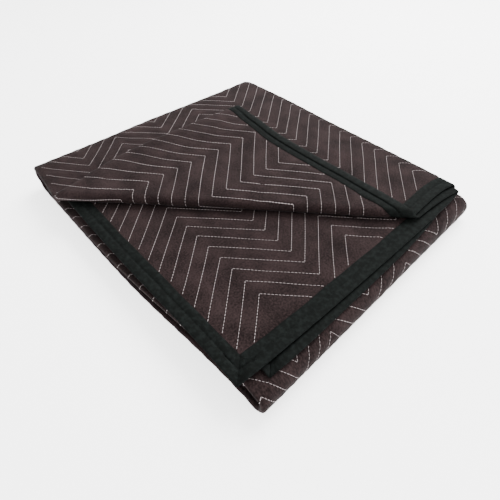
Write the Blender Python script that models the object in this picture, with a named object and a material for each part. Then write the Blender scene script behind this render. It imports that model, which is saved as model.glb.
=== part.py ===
# Moving pad: a quilted cloth with bound edges, folded in quarters and then in thirds,
# with one corner of its top layers turned back over the bundle.
# Metres, +Z up, X along the short side of the bundle, Y along the long side.
# The cloth is cut flat, scored where it bends and then folded, one step for each fold.

import math

import bmesh
import bpy
import numpy as np

MM = 0.001

# Cloth
CLOTH = 3.8          # quilted cloth, face to face
PINCHED = 1.6        # the same cloth where a binding holds its edge
PITCH = 5.0          # from one folded layer to the next
CLEAR = 0.3          # between a binding and the cloth in it

# Binding, a tape folded over the edge
TAPE_WIDTH = 26.0    # on each face of the cloth
TAPE_EDGE = 1.4      # how far it stands past the cloth's edge

# Flat cloth, panel by panel, along both sides
LONG_PANELS = (("first", 498.0), ("turn", 8.0), ("second", 546.0), ("turn", 8.0),
               ("third", 546.0), ("turn", 24.0), ("fourth", 456.0))
WIDE_PANELS = (("top", 520.0), ("turn", 62.0), ("bottom", 540.0), ("turn", 31.0),
               ("middle", 500.0))

# Where the edges and folds across the short side lie, a row for each place along the cloth:
# share of the way along the wide panels, end of the first quarter, end of the fourth,
# fold between second and third, folds at the other side (axes of the bends)
SECTIONS = (
    ("top, open end", 0.00, -102.4, -65.6, -152.0, 389.0),
    ("top, middle", 0.16, -111.6, -69.6, -156.0, 388.0),
    ("top, by the turned corner", 0.24, -114.6, -71.6, -131.0, 389.0),
    ("long fold", 0.33, -115.6, -72.6, -122.0, 382.0),
    ("bottom, middle", 0.52, -98.6, -60.6, -110.0, 388.0),
    ("short fold", 0.69, -78.6, -46.6, -88.0, 398.0),
    ("middle, middle", 0.85, -93.6, -58.6, -114.0, 387.0),
    ("middle, inner end", 1.00, -108.6, -68.6, -124.0, 379.0),
)

# The open end of the top layers, a row for each place along the cloth's edge:
# panel, share of the way along it, how far out it lies
OPEN_END = (
    ("first", 0.00, -311.0),
    ("first", 0.50, -301.0),
    ("first", 0.92, -288.0),
    ("second", 0.06, -278.0),
    ("second", 0.30, -279.5),
    ("second", 0.47, -279.0),
    ("second", 0.62, -272.5),
    ("second", 0.77, -268.0),
    ("second", 0.90, -273.0),
    ("third", 0.00, -271.0),
    ("third", 0.10, -262.0),
    ("third", 0.24, -251.0),
    ("third", 0.38, -257.0),
    ("third", 0.55, -273.0),
    ("third", 0.75, -275.0),
    ("third", 0.96, -267.0),
    ("fourth", 0.05, -281.0),
    ("fourth", 0.30, -300.0),
    ("fourth", 0.65, -314.0),
    ("fourth", 1.00, -324.0),
)

# Bends along the long side: axis at x = 0 and its slant
LONG_FOLD = (236.0, 0.0455)
SHORT_FOLD = (-317.7, 0.0813)
INNER_END = (226.0, -12.0)     # of the middle third, and what each layer up adds

# The turned corner: its fold runs at 45 degrees, this far from the origin
CORNER_FOLD = 6.3
CORNER_LIFT = 9.0              # how far its tip stands up
CORNER_BLEND = 60.0

# Slow rises of the bundle: waves along x and y in mm, phases, share of the height
SWELLS = (
    (640.0, 900.0, 0.4, 1.1, 0.020),
    (300.0, 420.0, 2.0, 0.3, 0.012),
    (170.0, 230.0, 4.1, 2.2, 0.006),
)

# Quilting: lines that zigzag at 45 degrees, 28.6 mm apart along y, raised between them where
# the cloth lies open: panel, its level, the side that shows, x and y of one upper corner,
# and the low and high ends of the open part in x and y
LINE_SPACING = 28.6
ZIGZAG = 85.8
GROOVE = 1.0
QUILTED = (
    ("first quarter, below the turned corner", 1, 1, 0.0, 0.0, -78.0, 372.0, -262.0, 190.0),
    ("third quarter, far side", 3, 1, 379.2, 25.7, 232.0, 374.0, -228.0, 226.0),
    ("third quarter, at the long fold", 3, 1, 379.2, 25.7, -128.0, 232.0, 140.0, 226.0),
    ("second quarter, under the turned corner", 2, -1, 35.5, 0.0, -128.0, 300.0, -216.0, 190.0),
)

# Division of each panel and bend, steps
LONG_STEPS = {"first": 5, "second": 6, "third": 6, "fourth": 5, "turn": 6}
WIDE_STEPS = {"top": 8, "bottom": 5, "middle": 5, "turn": 9}

LEVELS = {"first": 1, "second": 2, "third": 3, "fourth": 0}


def starts(panels):
    """Where each panel begins, and the full length."""
    at = [0.0]
    for _, length in panels:
        at.append(at[-1] + length)
    return at


LONG = starts(LONG_PANELS)
WIDE = starts(WIDE_PANELS)


def smooth(value):
    value = min(1.0, max(0.0, value))
    return value * value * (3.0 - 2.0 * value)


def curve(at, rows):
    """A soft curve through rows of (place, value)."""
    places = [row[0] for row in rows]
    values = [row[1] for row in rows]
    if at <= places[0]:
        return values[0]
    if at >= places[-1]:
        return values[-1]
    i = int(np.searchsorted(places, at)) - 1
    i = max(0, min(i, len(places) - 2))
    width = places[i + 1] - places[i]
    f = (at - places[i]) / width

    def slope(j):
        if j == 0 or j == len(places) - 1:
            return 0.0
        return (values[j + 1] - values[j - 1]) / (places[j + 1] - places[j - 1])

    a = values[i]
    b = values[i + 1]
    ma = slope(i) * width
    mb = slope(i + 1) * width
    f2 = f * f
    f3 = f2 * f
    start = (2 * f3 - 3 * f2 + 1) * a + (f3 - 2 * f2 + f) * ma
    return start + (3 * f2 - 2 * f3) * b + (f3 - f2) * mb


def open_end_rows():
    rows = []
    for name, share, out in OPEN_END:
        i = [n for n, _ in LONG_PANELS].index(name)
        rows.append((LONG[i] + share * LONG_PANELS[i][1], out))
    return rows


OPEN_ROWS = open_end_rows()


def section(along, column):
    return curve(along / WIDE[-1], [(row[1], row[column]) for row in SECTIONS])


def quarter_fold(along, across, face):
    """The fold in quarters: x and the height in layers, for a place on the cloth."""
    first_end = section(along, 2)
    fourth_end = section(along, 3)
    near = section(along, 4)
    far = section(along, 5)
    lift = face / PITCH
    i = max(0, min(int(np.searchsorted(LONG, across, side="right")) - 1, len(LONG_PANELS) - 1))
    share = (across - LONG[i]) / LONG_PANELS[i][1]
    if i == 0:
        return first_end + share * (far - first_end), 1.0 + lift
    if i == 2:
        return far + share * (near - far), 2.0 - lift
    if i == 4:
        return near + share * (far - near), 3.0 + lift
    if i == 6:
        return far + share * (fourth_end - far), 0.0 - lift
    turn = math.pi * share
    if i == 1:
        radius = 0.5 * PITCH - face
        return far + radius * math.sin(turn), 1.5 - radius / PITCH * math.cos(turn)
    if i == 3:
        radius = 0.5 * PITCH + face
        return near - radius * math.sin(turn), 2.5 - radius / PITCH * math.cos(turn)
    radius = 1.5 * PITCH + face
    return far + radius * math.sin(turn), 1.5 + radius / PITCH * math.cos(turn)


def third_fold(along, across, x, level):
    """The fold in thirds: y and z for a place on the folded quarters."""
    long_axis = LONG_FOLD[0] + LONG_FOLD[1] * x
    short_axis = SHORT_FOLD[0] + SHORT_FOLD[1] * x
    i = max(0, min(int(np.searchsorted(WIDE, along, side="right")) - 1, len(WIDE_PANELS) - 1))
    share = (along - WIDE[i]) / WIDE_PANELS[i][1]
    if i == 0:
        out = curve(across, OPEN_ROWS)
        return out + share * (long_axis - out), (8.0 + level) * PITCH
    if i == 1:
        radius = (2.5 + level) * PITCH
        turn = math.pi * (1.0 - share)
        return long_axis + radius * math.sin(turn), 5.5 * PITCH - radius * math.cos(turn)
    if i == 2:
        return long_axis + share * (short_axis - long_axis), (3.0 - level) * PITCH
    if i == 3:
        radius = (0.5 + level) * PITCH
        turn = math.pi * share
        return short_axis - radius * math.sin(turn), 3.5 * PITCH - radius * math.cos(turn)
    end = INNER_END[0] + INNER_END[1] * level
    return short_axis + share * (end - short_axis), (4.0 + level) * PITCH


def corner_distance(x, y):
    return (x + y) / math.sqrt(2.0) - CORNER_FOLD


def turn_corner(x, y, z):
    """The corner of the two top layers, rolled back over the bundle."""
    level = z / PITCH - 8.0
    beyond = -corner_distance(x, y)
    if beyond <= 0.0:
        return x, y, z
    along = (x - y) / math.sqrt(2.0)
    radius = (3.5 - level) * PITCH
    near = section(0.5 * WIDE[1], 4)
    share = smooth(1.0 - (x - near) / CORNER_BLEND)
    mean = radius + share * (1.0 * PITCH - radius)
    arc = math.pi * mean
    if beyond < arc:
        turn = math.pi * beyond / arc
        away = -radius * math.sin(turn)
        height = 3.5 * PITCH - radius * math.cos(turn)
    else:
        away = beyond - arc
        height = 3.5 * PITCH + radius
        height += CORNER_LIFT * smooth(away / 280.0) * smooth(away / 280.0)
    distance = away + CORNER_FOLD
    x = (distance + along) / math.sqrt(2.0)
    y = (distance - along) / math.sqrt(2.0)
    return x, y, 8.0 * PITCH + height


def settle(x, y, z):
    """Slow swells of the bundle, which grow with the height."""
    rise = 1.0
    for wave_x, wave_y, phase_x, phase_y, share in SWELLS:
        wave = math.sin(2 * math.pi * x / wave_x + phase_x)
        rise += share * wave * math.sin(2 * math.pi * y / wave_y + phase_y)
    return x, y, (z + 0.5 * CLOTH) * rise


def score(bm, axis, places):
    """Cut lines across the flat cloth, where it is to bend."""
    normal = [0.0, 0.0, 0.0]
    normal[axis] = 1.0
    for place in places:
        point = [0.0, 0.0, 0.0]
        point[axis] = place
        geometry = bm.verts[:] + bm.edges[:] + bm.faces[:]
        bmesh.ops.bisect_plane(bm, geom=geometry, plane_co=point, plane_no=normal, dist=1e-5)


def stations(panels, begins, steps, margin):
    """Places to score: each panel and bend in even steps, and the pinched edges."""
    places = []
    for (name, length), start in zip(panels, begins):
        count = steps[name]
        places += [start + length * k / count for k in range(count + 1)]
    last = begins[-1]
    pinched = [margin, margin + 6.0, last - margin, last - margin - 6.0]
    places = sorted(set(round(p, 4) for p in places + pinched if 0.0 < p < last))
    edges = [round(p, 4) for p in begins + pinched]
    kept = []
    for p in places:
        if p not in edges and min(abs(p - e) for e in edges) < 6.0 and not in_turn(p, panels, begins):
            continue
        kept.append(p)
    return kept


def in_turn(place, panels, begins):
    return any(name == "turn" and start <= place <= start + length
               for (name, length), start in zip(panels, begins))


def pinch(along, across):
    """Share of the full thickness near the bound edges."""
    edge = min(along, WIDE[-1] - along, across, LONG[-1] - across)
    inner = TAPE_WIDTH + 0.6
    thin = PINCHED / CLOTH
    return thin + (1.0 - thin) * smooth((edge - inner) / 6.0)


def fold(bm, thin):
    """The fold in quarters and in thirds."""
    for vertex in bm.verts:
        along, across, face = vertex.co
        if thin:
            face = face * pinch(along, across)
        x, level = quarter_fold(along, across, face)
        y, z = third_fold(along, across, x, level)
        vertex.co = (x, y, z)


def corner_faces(bm, low, high):
    """Faces of the top third with all their points between two layer heights."""
    picked = []
    limit = section(0.0, 5) - 1.0
    for face in bm.faces:
        inside = all(low <= v.co.z / PITCH - 8.0 <= high and v.co.x < limit for v in face.verts)
        if inside and all(v.co.y < 0.5 * LONG_FOLD[0] + 60.0 for v in face.verts):
            picked.append(face)
    return picked


def score_corner(bm):
    """Lines where the turned corner bends, on each of its two layers."""
    normal = (1.0 / math.sqrt(2.0), 1.0 / math.sqrt(2.0), 0.0)
    layers = ((2.45, 3.6, 0.5 * PITCH, 6), (1.4, 2.55, 1.5 * PITCH, 8))
    for low, high, radius, steps in layers:
        places = [CORNER_FOLD - math.pi * radius * k / steps for k in range(steps + 1)]
        for place in places:
            faces = corner_faces(bm, low, high)
            edges = list({e for f in faces for e in f.edges})
            verts = list({v for f in faces for v in f.verts})
            point = (normal[0] * place, normal[1] * place, 0.0)
            bmesh.ops.bisect_plane(bm, geom=verts + edges + faces, plane_co=point,
                                   plane_no=normal, dist=1e-5)


def open_faces(bm, row):
    """Faces of one quilted panel that look out, inside its open part."""
    _, level, side, _, _, x_low, x_high, y_low, y_high = row
    picked = []
    for face in bm.faces:
        if face.normal.z * side < 0.5:
            continue
        middle = face.calc_center_median()
        if not (x_low < middle.x < x_high and y_low < middle.y < y_high):
            continue
        height = (middle.z / PITCH - 8.0 - level) * side
        if not 0.1 < height < 0.5:
            continue
        away = corner_distance(middle.x, middle.y)
        if level == 1 and away > 0.0:
            continue
        if level == 2 and away > -1.5 * math.pi * PITCH - 1.0:
            continue
        picked.append(face)
    return picked


def cut_faces(bm, faces, point, normal):
    edges = list({e for f in faces for e in f.edges})
    verts = list({v for f in faces for v in f.verts})
    if faces:
        bmesh.ops.bisect_plane(bm, geom=verts + edges + faces, plane_co=point,
                               plane_no=normal, dist=0.5)


def quilt(bm):
    """Scores the lines of the quilting and the crests between them, then lowers the lines."""
    half = 1.0 / math.sqrt(2.0)
    lowered = {}
    for row in QUILTED:
        _, level, side, x_peak, y_peak, x_low, x_high, y_low, y_high = row
        bm.normal_update()
        first = math.floor((x_low - x_peak) / ZIGZAG)
        last = math.ceil((x_high - x_peak) / ZIGZAG)
        wider = row[:5] + (x_low - 90.0, x_high + 90.0, y_low, y_high)
        for x in [x_low, x_high] + [x_peak + ZIGZAG * m for m in range(first + 1, last)]:
            cut_faces(bm, open_faces(bm, wider), (x, 0.0, 0.0), (1.0, 0.0, 0.0))
        longer = row[:5] + (x_low, x_high, y_low - 90.0, y_high + 90.0)
        for y in (y_low, y_high):
            cut_faces(bm, open_faces(bm, longer), (0.0, y, 0.0), (0.0, 1.0, 0.0))
        for m in range(first, last):
            x_start = x_peak + ZIGZAG * m
            down = m % 2 == 0
            normal = (half, half, 0.0) if down else (-half, half, 0.0)
            y_start = y_peak if down else y_peak - ZIGZAG
            low = math.floor((y_low - ZIGZAG - y_start) / (0.5 * LINE_SPACING))
            high = math.ceil((y_high + ZIGZAG - y_start) / (0.5 * LINE_SPACING))
            for k in range(low, high + 1):
                faces = [f for f in open_faces(bm, row)
                         if x_start < f.calc_center_median().x < x_start + ZIGZAG]
                cut_faces(bm, faces, (x_start, y_start + 0.5 * LINE_SPACING * k, 0.0), normal)
        for face in open_faces(bm, row):
            for vertex in face.verts:
                x, y, _ = vertex.co
                turn = abs((x - x_peak + ZIGZAG) % (2.0 * ZIGZAG) - ZIGZAG)
                place = (y - y_peak + turn) / LINE_SPACING
                from_line = abs(place - round(place)) * 2.0
                lowered[vertex] = -side * GROOVE * (1.0 - from_line)
    for vertex, drop in lowered.items():
        vertex.co.z += drop


def turn_and_settle(bm):
    limit = section(0.0, 5) - 1.0
    for vertex in bm.verts:
        x, y, z = vertex.co
        if 1.4 <= z / PITCH - 8.0 <= 3.6 and x < limit:
            x, y, z = turn_corner(x, y, z)
        vertex.co = settle(x, y, z)


def cloth_mesh():
    """The quilted cloth: a flat sheet, scored, folded, its corner turned."""
    bm = bmesh.new()
    bmesh.ops.create_cube(bm, size=1.0)
    bmesh.ops.scale(bm, vec=(WIDE[-1], LONG[-1], CLOTH), verts=bm.verts)
    bmesh.ops.translate(bm, vec=(0.5 * WIDE[-1], 0.5 * LONG[-1], 0.0), verts=bm.verts)
    score(bm, 0, stations(WIDE_PANELS, WIDE, WIDE_STEPS, TAPE_WIDTH))
    score(bm, 1, stations(LONG_PANELS, LONG, LONG_STEPS, TAPE_WIDTH))
    fold(bm, True)
    score_corner(bm)
    bmesh.ops.recalc_face_normals(bm, faces=bm.faces)
    quilt(bm)
    turn_and_settle(bm)
    return bm


def tape_profile():
    """Section of a binding: depth in from the cloth's edge, and height."""
    outer = 0.5 * CLOTH
    slot = 0.5 * PINCHED + CLEAR
    return ((TAPE_WIDTH, outer), (-TAPE_EDGE, outer), (-TAPE_EDGE, -outer), (TAPE_WIDTH, -outer),
            (TAPE_WIDTH, -slot), (-CLEAR, -slot), (-CLEAR, slot), (TAPE_WIDTH, slot))


def tape_mesh(side):
    """One binding, mitred at both ends, folded with the cloth."""
    runs_long = side in ("open", "inner")
    length = LONG[-1] if runs_long else WIDE[-1]
    if runs_long:
        places = stations(LONG_PANELS, LONG, LONG_STEPS, TAPE_WIDTH)
    else:
        places = stations(WIDE_PANELS, WIDE, WIDE_STEPS, TAPE_WIDTH)
    corner = TAPE_WIDTH + 2.0
    places = [p for p in places if corner < p < length - corner]
    far = WIDE[-1] if runs_long else LONG[-1]
    flip = side in ("inner", "fourth")
    bm = bmesh.new()
    ring = [bm.verts.new((depth, 0.0, height)) for depth, height in tape_profile()]
    face = bm.faces.new(ring)
    bm.faces.ensure_lookup_table()
    made = bmesh.ops.extrude_face_region(bm, geom=[face])
    top = [v for v in made["geom"] if isinstance(v, bmesh.types.BMVert)]
    bmesh.ops.translate(bm, vec=(0.0, length, 0.0), verts=top)
    for vertex in ring:
        vertex.co.y = vertex.co.x + 0.5 * CLEAR * math.sqrt(2.0)
    for vertex in top:
        vertex.co.y = length - vertex.co.x - 0.5 * CLEAR * math.sqrt(2.0)
    score(bm, 1, places)
    for vertex in bm.verts:
        depth, run, height = vertex.co
        if flip:
            depth = far - depth
        vertex.co = (depth, run, height) if runs_long else (run, depth, height)
    fold(bm, False)
    if side == "open":
        score_corner(bm)
    turn_and_settle(bm)
    bmesh.ops.recalc_face_normals(bm, faces=bm.faces)
    return bm


def material(name, colour, roughness):
    made = bpy.data.materials.new(name)
    made.use_nodes = True
    shader = made.node_tree.nodes["Principled BSDF"]
    shader.inputs["Base Color"].default_value = (*colour, 1.0)
    shader.inputs["Roughness"].default_value = roughness
    return made


def add_object(name, bm, shift, look):
    bmesh.ops.translate(bm, vec=shift, verts=bm.verts)
    bmesh.ops.scale(bm, vec=(MM, MM, MM), verts=bm.verts)
    bmesh.ops.recalc_face_normals(bm, faces=bm.faces)
    mesh = bpy.data.meshes.new(name)
    bm.to_mesh(mesh)
    bm.free()
    made = bpy.data.objects.new(name, mesh)
    mesh.materials.append(look)
    bpy.context.scene.collection.objects.link(made)
    return made


def middle_shift(meshes):
    """Brings the middle of the bundle's footprint to the origin, its lowest face to z = 0."""
    points = np.array([vertex.co[:] for bm in meshes for vertex in bm.verts])
    low = points.min(axis=0)
    high = points.max(axis=0)
    return (-0.5 * (low[0] + high[0]), -0.5 * (low[1] + high[1]), -low[2])


def build():
    for made in list(bpy.data.objects):
        bpy.data.objects.remove(made, do_unlink=True)
    cloth = material("quilted_woven_cotton_polyester", (0.060, 0.030, 0.028), 0.85)
    tape = material("woven_polyester_binding", (0.012, 0.014, 0.014), 0.7)
    meshes = [("quilted_cloth", cloth_mesh(), cloth)]
    for side, name in (("first", "binding_first_end"), ("fourth", "binding_last_end"),
                       ("open", "binding_open_side"), ("inner", "binding_inner_side")):
        meshes.append((name, tape_mesh(side), tape))
    shift = middle_shift([bm for _, bm, _ in meshes])
    for name, bm, look in meshes:
        add_object(name, bm, shift, look)


build()
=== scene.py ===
"""Looks of a moving pad, a quilted blanket folded in quarters and then in thirds.

The cloth, its bindings and its stitches are all made flat, in millimetres: x along the way of
the fold in thirds, y along the way of the fold in quarters, z through the cloth. One set of
functions then folds every piece alike, turns the corner back and lets the bundle settle.
"""

import math

import bmesh
import bpy
import mathutils
import numpy as np
from mathutils.bvhtree import BVHTree
from bpy.props import FloatProperty, FloatVectorProperty, PointerProperty
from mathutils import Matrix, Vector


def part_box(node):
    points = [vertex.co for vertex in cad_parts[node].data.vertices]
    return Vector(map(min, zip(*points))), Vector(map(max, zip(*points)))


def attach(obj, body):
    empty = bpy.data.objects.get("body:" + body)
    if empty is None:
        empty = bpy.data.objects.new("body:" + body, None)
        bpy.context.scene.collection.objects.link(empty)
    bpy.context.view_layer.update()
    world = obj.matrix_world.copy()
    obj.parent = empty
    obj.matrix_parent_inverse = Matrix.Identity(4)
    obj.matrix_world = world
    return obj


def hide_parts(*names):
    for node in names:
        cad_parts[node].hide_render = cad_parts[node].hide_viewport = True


bl_info = {
    "name": "Moving Pad",
    "version": (1, 0, 0),
    "blender": (4, 5, 0),
    "location": "3D View > Sidebar > Moving Pad",
    "description": "Builds a folded, quilted moving pad around its packed model",
    "category": "Add Mesh",
}

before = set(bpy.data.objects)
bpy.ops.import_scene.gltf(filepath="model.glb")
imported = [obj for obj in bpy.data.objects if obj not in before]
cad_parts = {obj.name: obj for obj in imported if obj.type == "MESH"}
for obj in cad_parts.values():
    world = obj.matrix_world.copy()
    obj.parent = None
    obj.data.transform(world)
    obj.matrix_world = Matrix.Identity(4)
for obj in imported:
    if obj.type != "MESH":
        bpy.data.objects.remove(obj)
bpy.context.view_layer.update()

MM = 0.001

# Cloth and binding, in millimetres
PINCHED = 1.6        # cloth where a binding holds its edge
PITCH = 5.0          # from one folded layer to the next
CLEAR = 0.3          # between a binding and the cloth in it
TAPE_WIDTH = 26.0    # of a binding on each face
TAPE_EDGE = 1.4      # how far a binding stands past the cloth's edge
TAPE_OUTER = 1.9     # half of a binding's thickness over all

# Flat cloth, panel by panel, along both sides
LONG_PANELS = (("first", 498.0), ("turn", 8.0), ("second", 546.0), ("turn", 8.0),
               ("third", 546.0), ("turn", 24.0), ("fourth", 456.0))
WIDE_PANELS = (("top", 520.0), ("turn", 62.0), ("bottom", 540.0), ("turn", 31.0),
               ("middle", 500.0))

# Edges and folds across the short side: share of the way along the wide panels, end of the
# first quarter, end of the fourth, near fold, far folds
SECTIONS = (
    ("top, open end", 0.00, -102.4, -65.6, -152.0, 389.0),
    ("top, middle", 0.16, -111.6, -69.6, -156.0, 388.0),
    ("top, by the turned corner", 0.24, -114.6, -71.6, -131.0, 389.0),
    ("long fold", 0.33, -115.6, -72.6, -122.0, 382.0),
    ("bottom, middle", 0.52, -98.6, -60.6, -110.0, 388.0),
    ("short fold", 0.69, -78.6, -46.6, -88.0, 398.0),
    ("middle, middle", 0.85, -93.6, -58.6, -114.0, 387.0),
    ("middle, inner end", 1.00, -108.6, -68.6, -124.0, 379.0),
)
FIRST_END, FOURTH_END, NEAR, FAR = 2, 3, 4, 5      # columns of SECTIONS

# Open end of the top layers: panel, share of the way along it, how far out it lies
OPEN_END = (
    ("first", 0.00, -311.0),
    ("first", 0.50, -301.0),
    ("first", 0.92, -288.0),
    ("second", 0.06, -278.0),
    ("second", 0.30, -279.5),
    ("second", 0.47, -279.0),
    ("second", 0.62, -272.5),
    ("second", 0.77, -268.0),
    ("second", 0.90, -273.0),
    ("third", 0.00, -271.0),
    ("third", 0.10, -262.0),
    ("third", 0.24, -251.0),
    ("third", 0.38, -257.0),
    ("third", 0.55, -273.0),
    ("third", 0.75, -275.0),
    ("third", 0.96, -267.0),
    ("fourth", 0.05, -281.0),
    ("fourth", 0.30, -300.0),
    ("fourth", 0.65, -314.0),
    ("fourth", 1.00, -324.0),
)

# Bends along the long side: axis at x = 0 and its slant
LONG_FOLD = (236.0, 0.0455)
SHORT_FOLD = (-317.7, 0.0813)
INNER_END = (226.0, -12.0)     # of the middle third, and what each layer up adds
TOP_THIRD = 8.0                # level of the top third's lowest layer

# The turned corner: its fold runs at 45 degrees, this far from the origin
CORNER_FOLD = 6.3
CORNER_LIFT = 9.0              # how far its tip stands up
CORNER_RISES = 280.0           # way over which it comes to stand up
CORNER_BLEND = 60.0            # way from the near fold over which the roll evens out
CORNER_LEVELS = (1.2, 3.8)     # the layers between these levels turn
ROLL_LEVEL = 1.4               # the roll's finer mesh: above this level, and this far from the fold
ROLL_BAND = (-34.0, 8.0)

# Slow rises of the bundle: waves along x and y, phases, share of the height
SWELLS = (
    (640.0, 900.0, 0.4, 1.1, 0.020),
    (300.0, 420.0, 2.0, 0.3, 0.012),
    (170.0, 230.0, 4.1, 2.2, 0.006),
)

# Creases and soft ridges through the upper layers: place x and y, direction in degrees, half
# length, half width, share of the height
CREASES = (
    (236.0, -212.0, 62.0, 34.0, 6.0, -0.030),
    (214.0, -206.0, 70.0, 30.0, 5.0, -0.026),
    (196.0, -172.0, 35.0, 40.0, 7.0, 0.022),
    (120.0, -92.0, 40.0, 60.0, 10.0, -0.016),
    (30.0, -20.0, -30.0, 70.0, 12.0, -0.014),
    (-60.0, 120.0, 80.0, 60.0, 11.0, 0.018),
    (-40.0, 150.0, 75.0, 50.0, 8.0, -0.018),
    (70.0, 172.0, 95.0, 60.0, 12.0, 0.016),
    (190.0, 120.0, 20.0, 70.0, 12.0, 0.014),
    (300.0, 60.0, 100.0, 60.0, 12.0, -0.014),
    (330.0, -110.0, 110.0, 55.0, 9.0, 0.018),
    (352.0, -40.0, 80.0, 50.0, 9.0, -0.016),
    (-20.0, -210.0, 12.0, 60.0, 9.0, -0.018),
    (60.0, -232.0, -8.0, 70.0, 10.0, 0.016),
    (180.0, -246.0, 8.0, 60.0, 9.0, -0.018),
    (-88.0, -120.0, 88.0, 70.0, 10.0, 0.020),
    (-70.0, -262.0, 45.0, 40.0, 8.0, -0.026),
    (-80.0, -288.0, 135.0, 34.0, 4.0, -0.050),
)
CREASE_BOW = 0.0015            # how far they bow sideways, for each squared mm along them
CREASE_DEPTH = 16.0            # height in layers over which they grow to the full

# Quilting: lines that zigzag, and where the zigzag lies on each panel: x and y of one upper
# corner, length of an arm along x, slant of the pattern
LINE_SPACING = 28.6
ARM_RISE = 85.8
OUTERMOST_LINE = -8            # the last line before the open side, in each panel's own count
PATTERNS = {
    "first": (0.0, 0.0, 85.8, 0.0),
    "second": (35.5, 16.3, 97.0, 0.0),
    "third": (381.0, 25.7, 90.0, -0.034),
    "fourth": (0.0, 0.0, 85.8, 0.0),
}
SLANT_FROM = 100.0             # left of this the third panel's lines lie straight again
NEAR_FOLD = -152.0             # where the near fold is when the lines run square to it
FOLLOWS = 50.0                 # left of this the lines follow the near fold
LEAN_REACH = (-330.0, 260.0)   # way along the fold in thirds over which a slanted pattern leans
START_ALONG = 250.0            # first guess of a way along the cloth
PLACE_ROUNDS = 6               # rounds that improve the guess
PATTERN_ROUNDS = 4

# Level of each quarter in the fold, and the cells in each bend of LONG_PANELS
LEVELS = {"first": 1.0, "second": 2.0, "third": 3.0, "fourth": 0.0}
TURN_STEPS = {1: 6, 3: 6, 5: 8}
FINE = 3                       # cells for each line spacing
LEAST_COLUMN = 0.4             # between two columns
EDGE_BAND = 7.0                # finer cells beside a binding

# Columns of the cloth's mesh: ends of each panel's columns, and how far the last one lies past
COLUMN_ENDS = {"first": (-130.0, 386.0), "second": (-148.0, 386.0),
               "third": (-148.0, 386.0), "fourth": (-75.0, 386.0)}
MOST_COLUMNS = 80
LAST_COLUMN = 12.0

# Rows, in steps: those up to the long fold, then count and share of a step in the long fold, the
# bottom, the short fold and the start of the middle, and how far the coarse ones go on
FIRST_ROWS = (-37, 24)
ROW_RUNS = ((25, 0.5), (52, 1.0), (19, 0.5), (8, 1.0))
LAST_ROW = 1495.0

# Padding: how fast it swells away from a line, and how it thins out toward a binding
PUFF_POWER = 2.2
PUFF_STOPS = 0.6
PUFF_BLEND = 6.0

# Meshes of the bindings: spacing of their sections, and how their inner edges waver
TAPE_STEP = 9.0
OPEN_TAPE_STEP = 4.0
TURN_STEP = 3.0
TAPE_WAVER = 0.6
TAPE_WAVES = (17.0, 43.0)

# Where stitches show: panel, x from and to, way along the fold in thirds from and to
STITCHED = (
    ("first", -90.0, 392.0, -300.0, 150.0),
    ("second", -166.0, 380.0, -300.0, 200.0),
    ("third", -152.0, -140.0, -290.0, 236.0),
    ("third", -166.0, -140.0, 236.0, 1460.0),
    ("third", -140.0, 412.0, -290.0, 960.0),
)
SEEN_INSET = 1.5               # stitches start this far from a binding
FIRST_SEEN_TO = 12.0           # distances from the turned corner's fold: the first quarter is seen
SECOND_SEEN_TO = -3.0          # up to here, the second, turned over, up to here,
THIRD_SEEN_FROM = -14.0        # and the third from here on

# Stitches: how far a line of them wavers, over which length and how unlike the next, share of the
# pitch they fill, height against width, and how far their middle stands above the cloth
LINE_WAVER, WAVER_LENGTH, WAVER_SHIFT = 0.5, 19.0, 1.7
STITCH_FILL = 0.92
STITCH_FLATNESS = 0.8
STITCH_RISE = 0.1
ABOVE_CLOTH = 20.0             # rays to the cloth start here

# Floor, in metres, its own light, and the pale surroundings
FLOOR_HALF = 8.0
FLOOR_PLACE = -0.0005
FLOOR_GLOW = 2.4
WORLD_STRENGTH = 1.5

# Lights: name, place, what it points at, side in metres, power in watts
LIGHTS = (
    ("key_softbox", (1.3, 0.35, 1.7), (0.0, 0.0, 0.0), 1.5, 120.0),
    ("fill_softbox", (0.6, -1.6, 1.0), (0.0, 0.0, 0.0), 1.6, 20.0),
)

# The photograph's camera
CAMERA_PLACE = (-0.35885, -0.45118, 0.48036)
CAMERA_TURN = (0.7655, 0.0087, -0.6950)
CAMERA_LENS = 29.609
SENSOR_WIDTH = 36.0


def starts(panels):
    """Where each panel begins, and the full length."""
    at = [0.0]
    for _, length in panels:
        at.append(at[-1] + length)
    return np.array(at)


LONG = starts(LONG_PANELS)
WIDE = starts(WIDE_PANELS)
OUTER_ARCS = (math.pi * 5.5 * PITCH, math.pi * 3.5 * PITCH)


def smooth(value):
    value = np.clip(value, 0.0, 1.0)
    return value * value * (3.0 - 2.0 * value)


def curve(at, places, values):
    """A soft curve through places and values, level at both ends."""
    places = np.asarray(places, float)
    values = np.asarray(values, float)
    slopes = np.zeros(len(values))
    slopes[1:-1] = (values[2:] - values[:-2]) / (places[2:] - places[:-2])
    at = np.clip(at, places[0], places[-1])
    i = np.clip(np.searchsorted(places, at) - 1, 0, len(places) - 2)
    width = places[i + 1] - places[i]
    f = (at - places[i]) / width
    f2 = f * f
    f3 = f2 * f
    start = (2 * f3 - 3 * f2 + 1) * values[i] + (f3 - 2 * f2 + f) * slopes[i] * width
    return start + (3 * f2 - 2 * f3) * values[i + 1] + (f3 - f2) * slopes[i + 1] * width


def open_end_rows():
    names = [name for name, _ in LONG_PANELS]
    places = [LONG[names.index(name)] + share * LONG_PANELS[names.index(name)][1]
              for name, share, _ in OPEN_END]
    return places, [row[2] for row in OPEN_END]


OPEN_PLACES, OPEN_VALUES = open_end_rows()


def section(along, column):
    places = [row[1] for row in SECTIONS]
    return curve(along / WIDE[-1], places, [row[column] for row in SECTIONS])


def panel_of(at, begins):
    return np.clip(np.searchsorted(begins, at, side="right") - 1, 0, len(begins) - 2)


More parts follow.
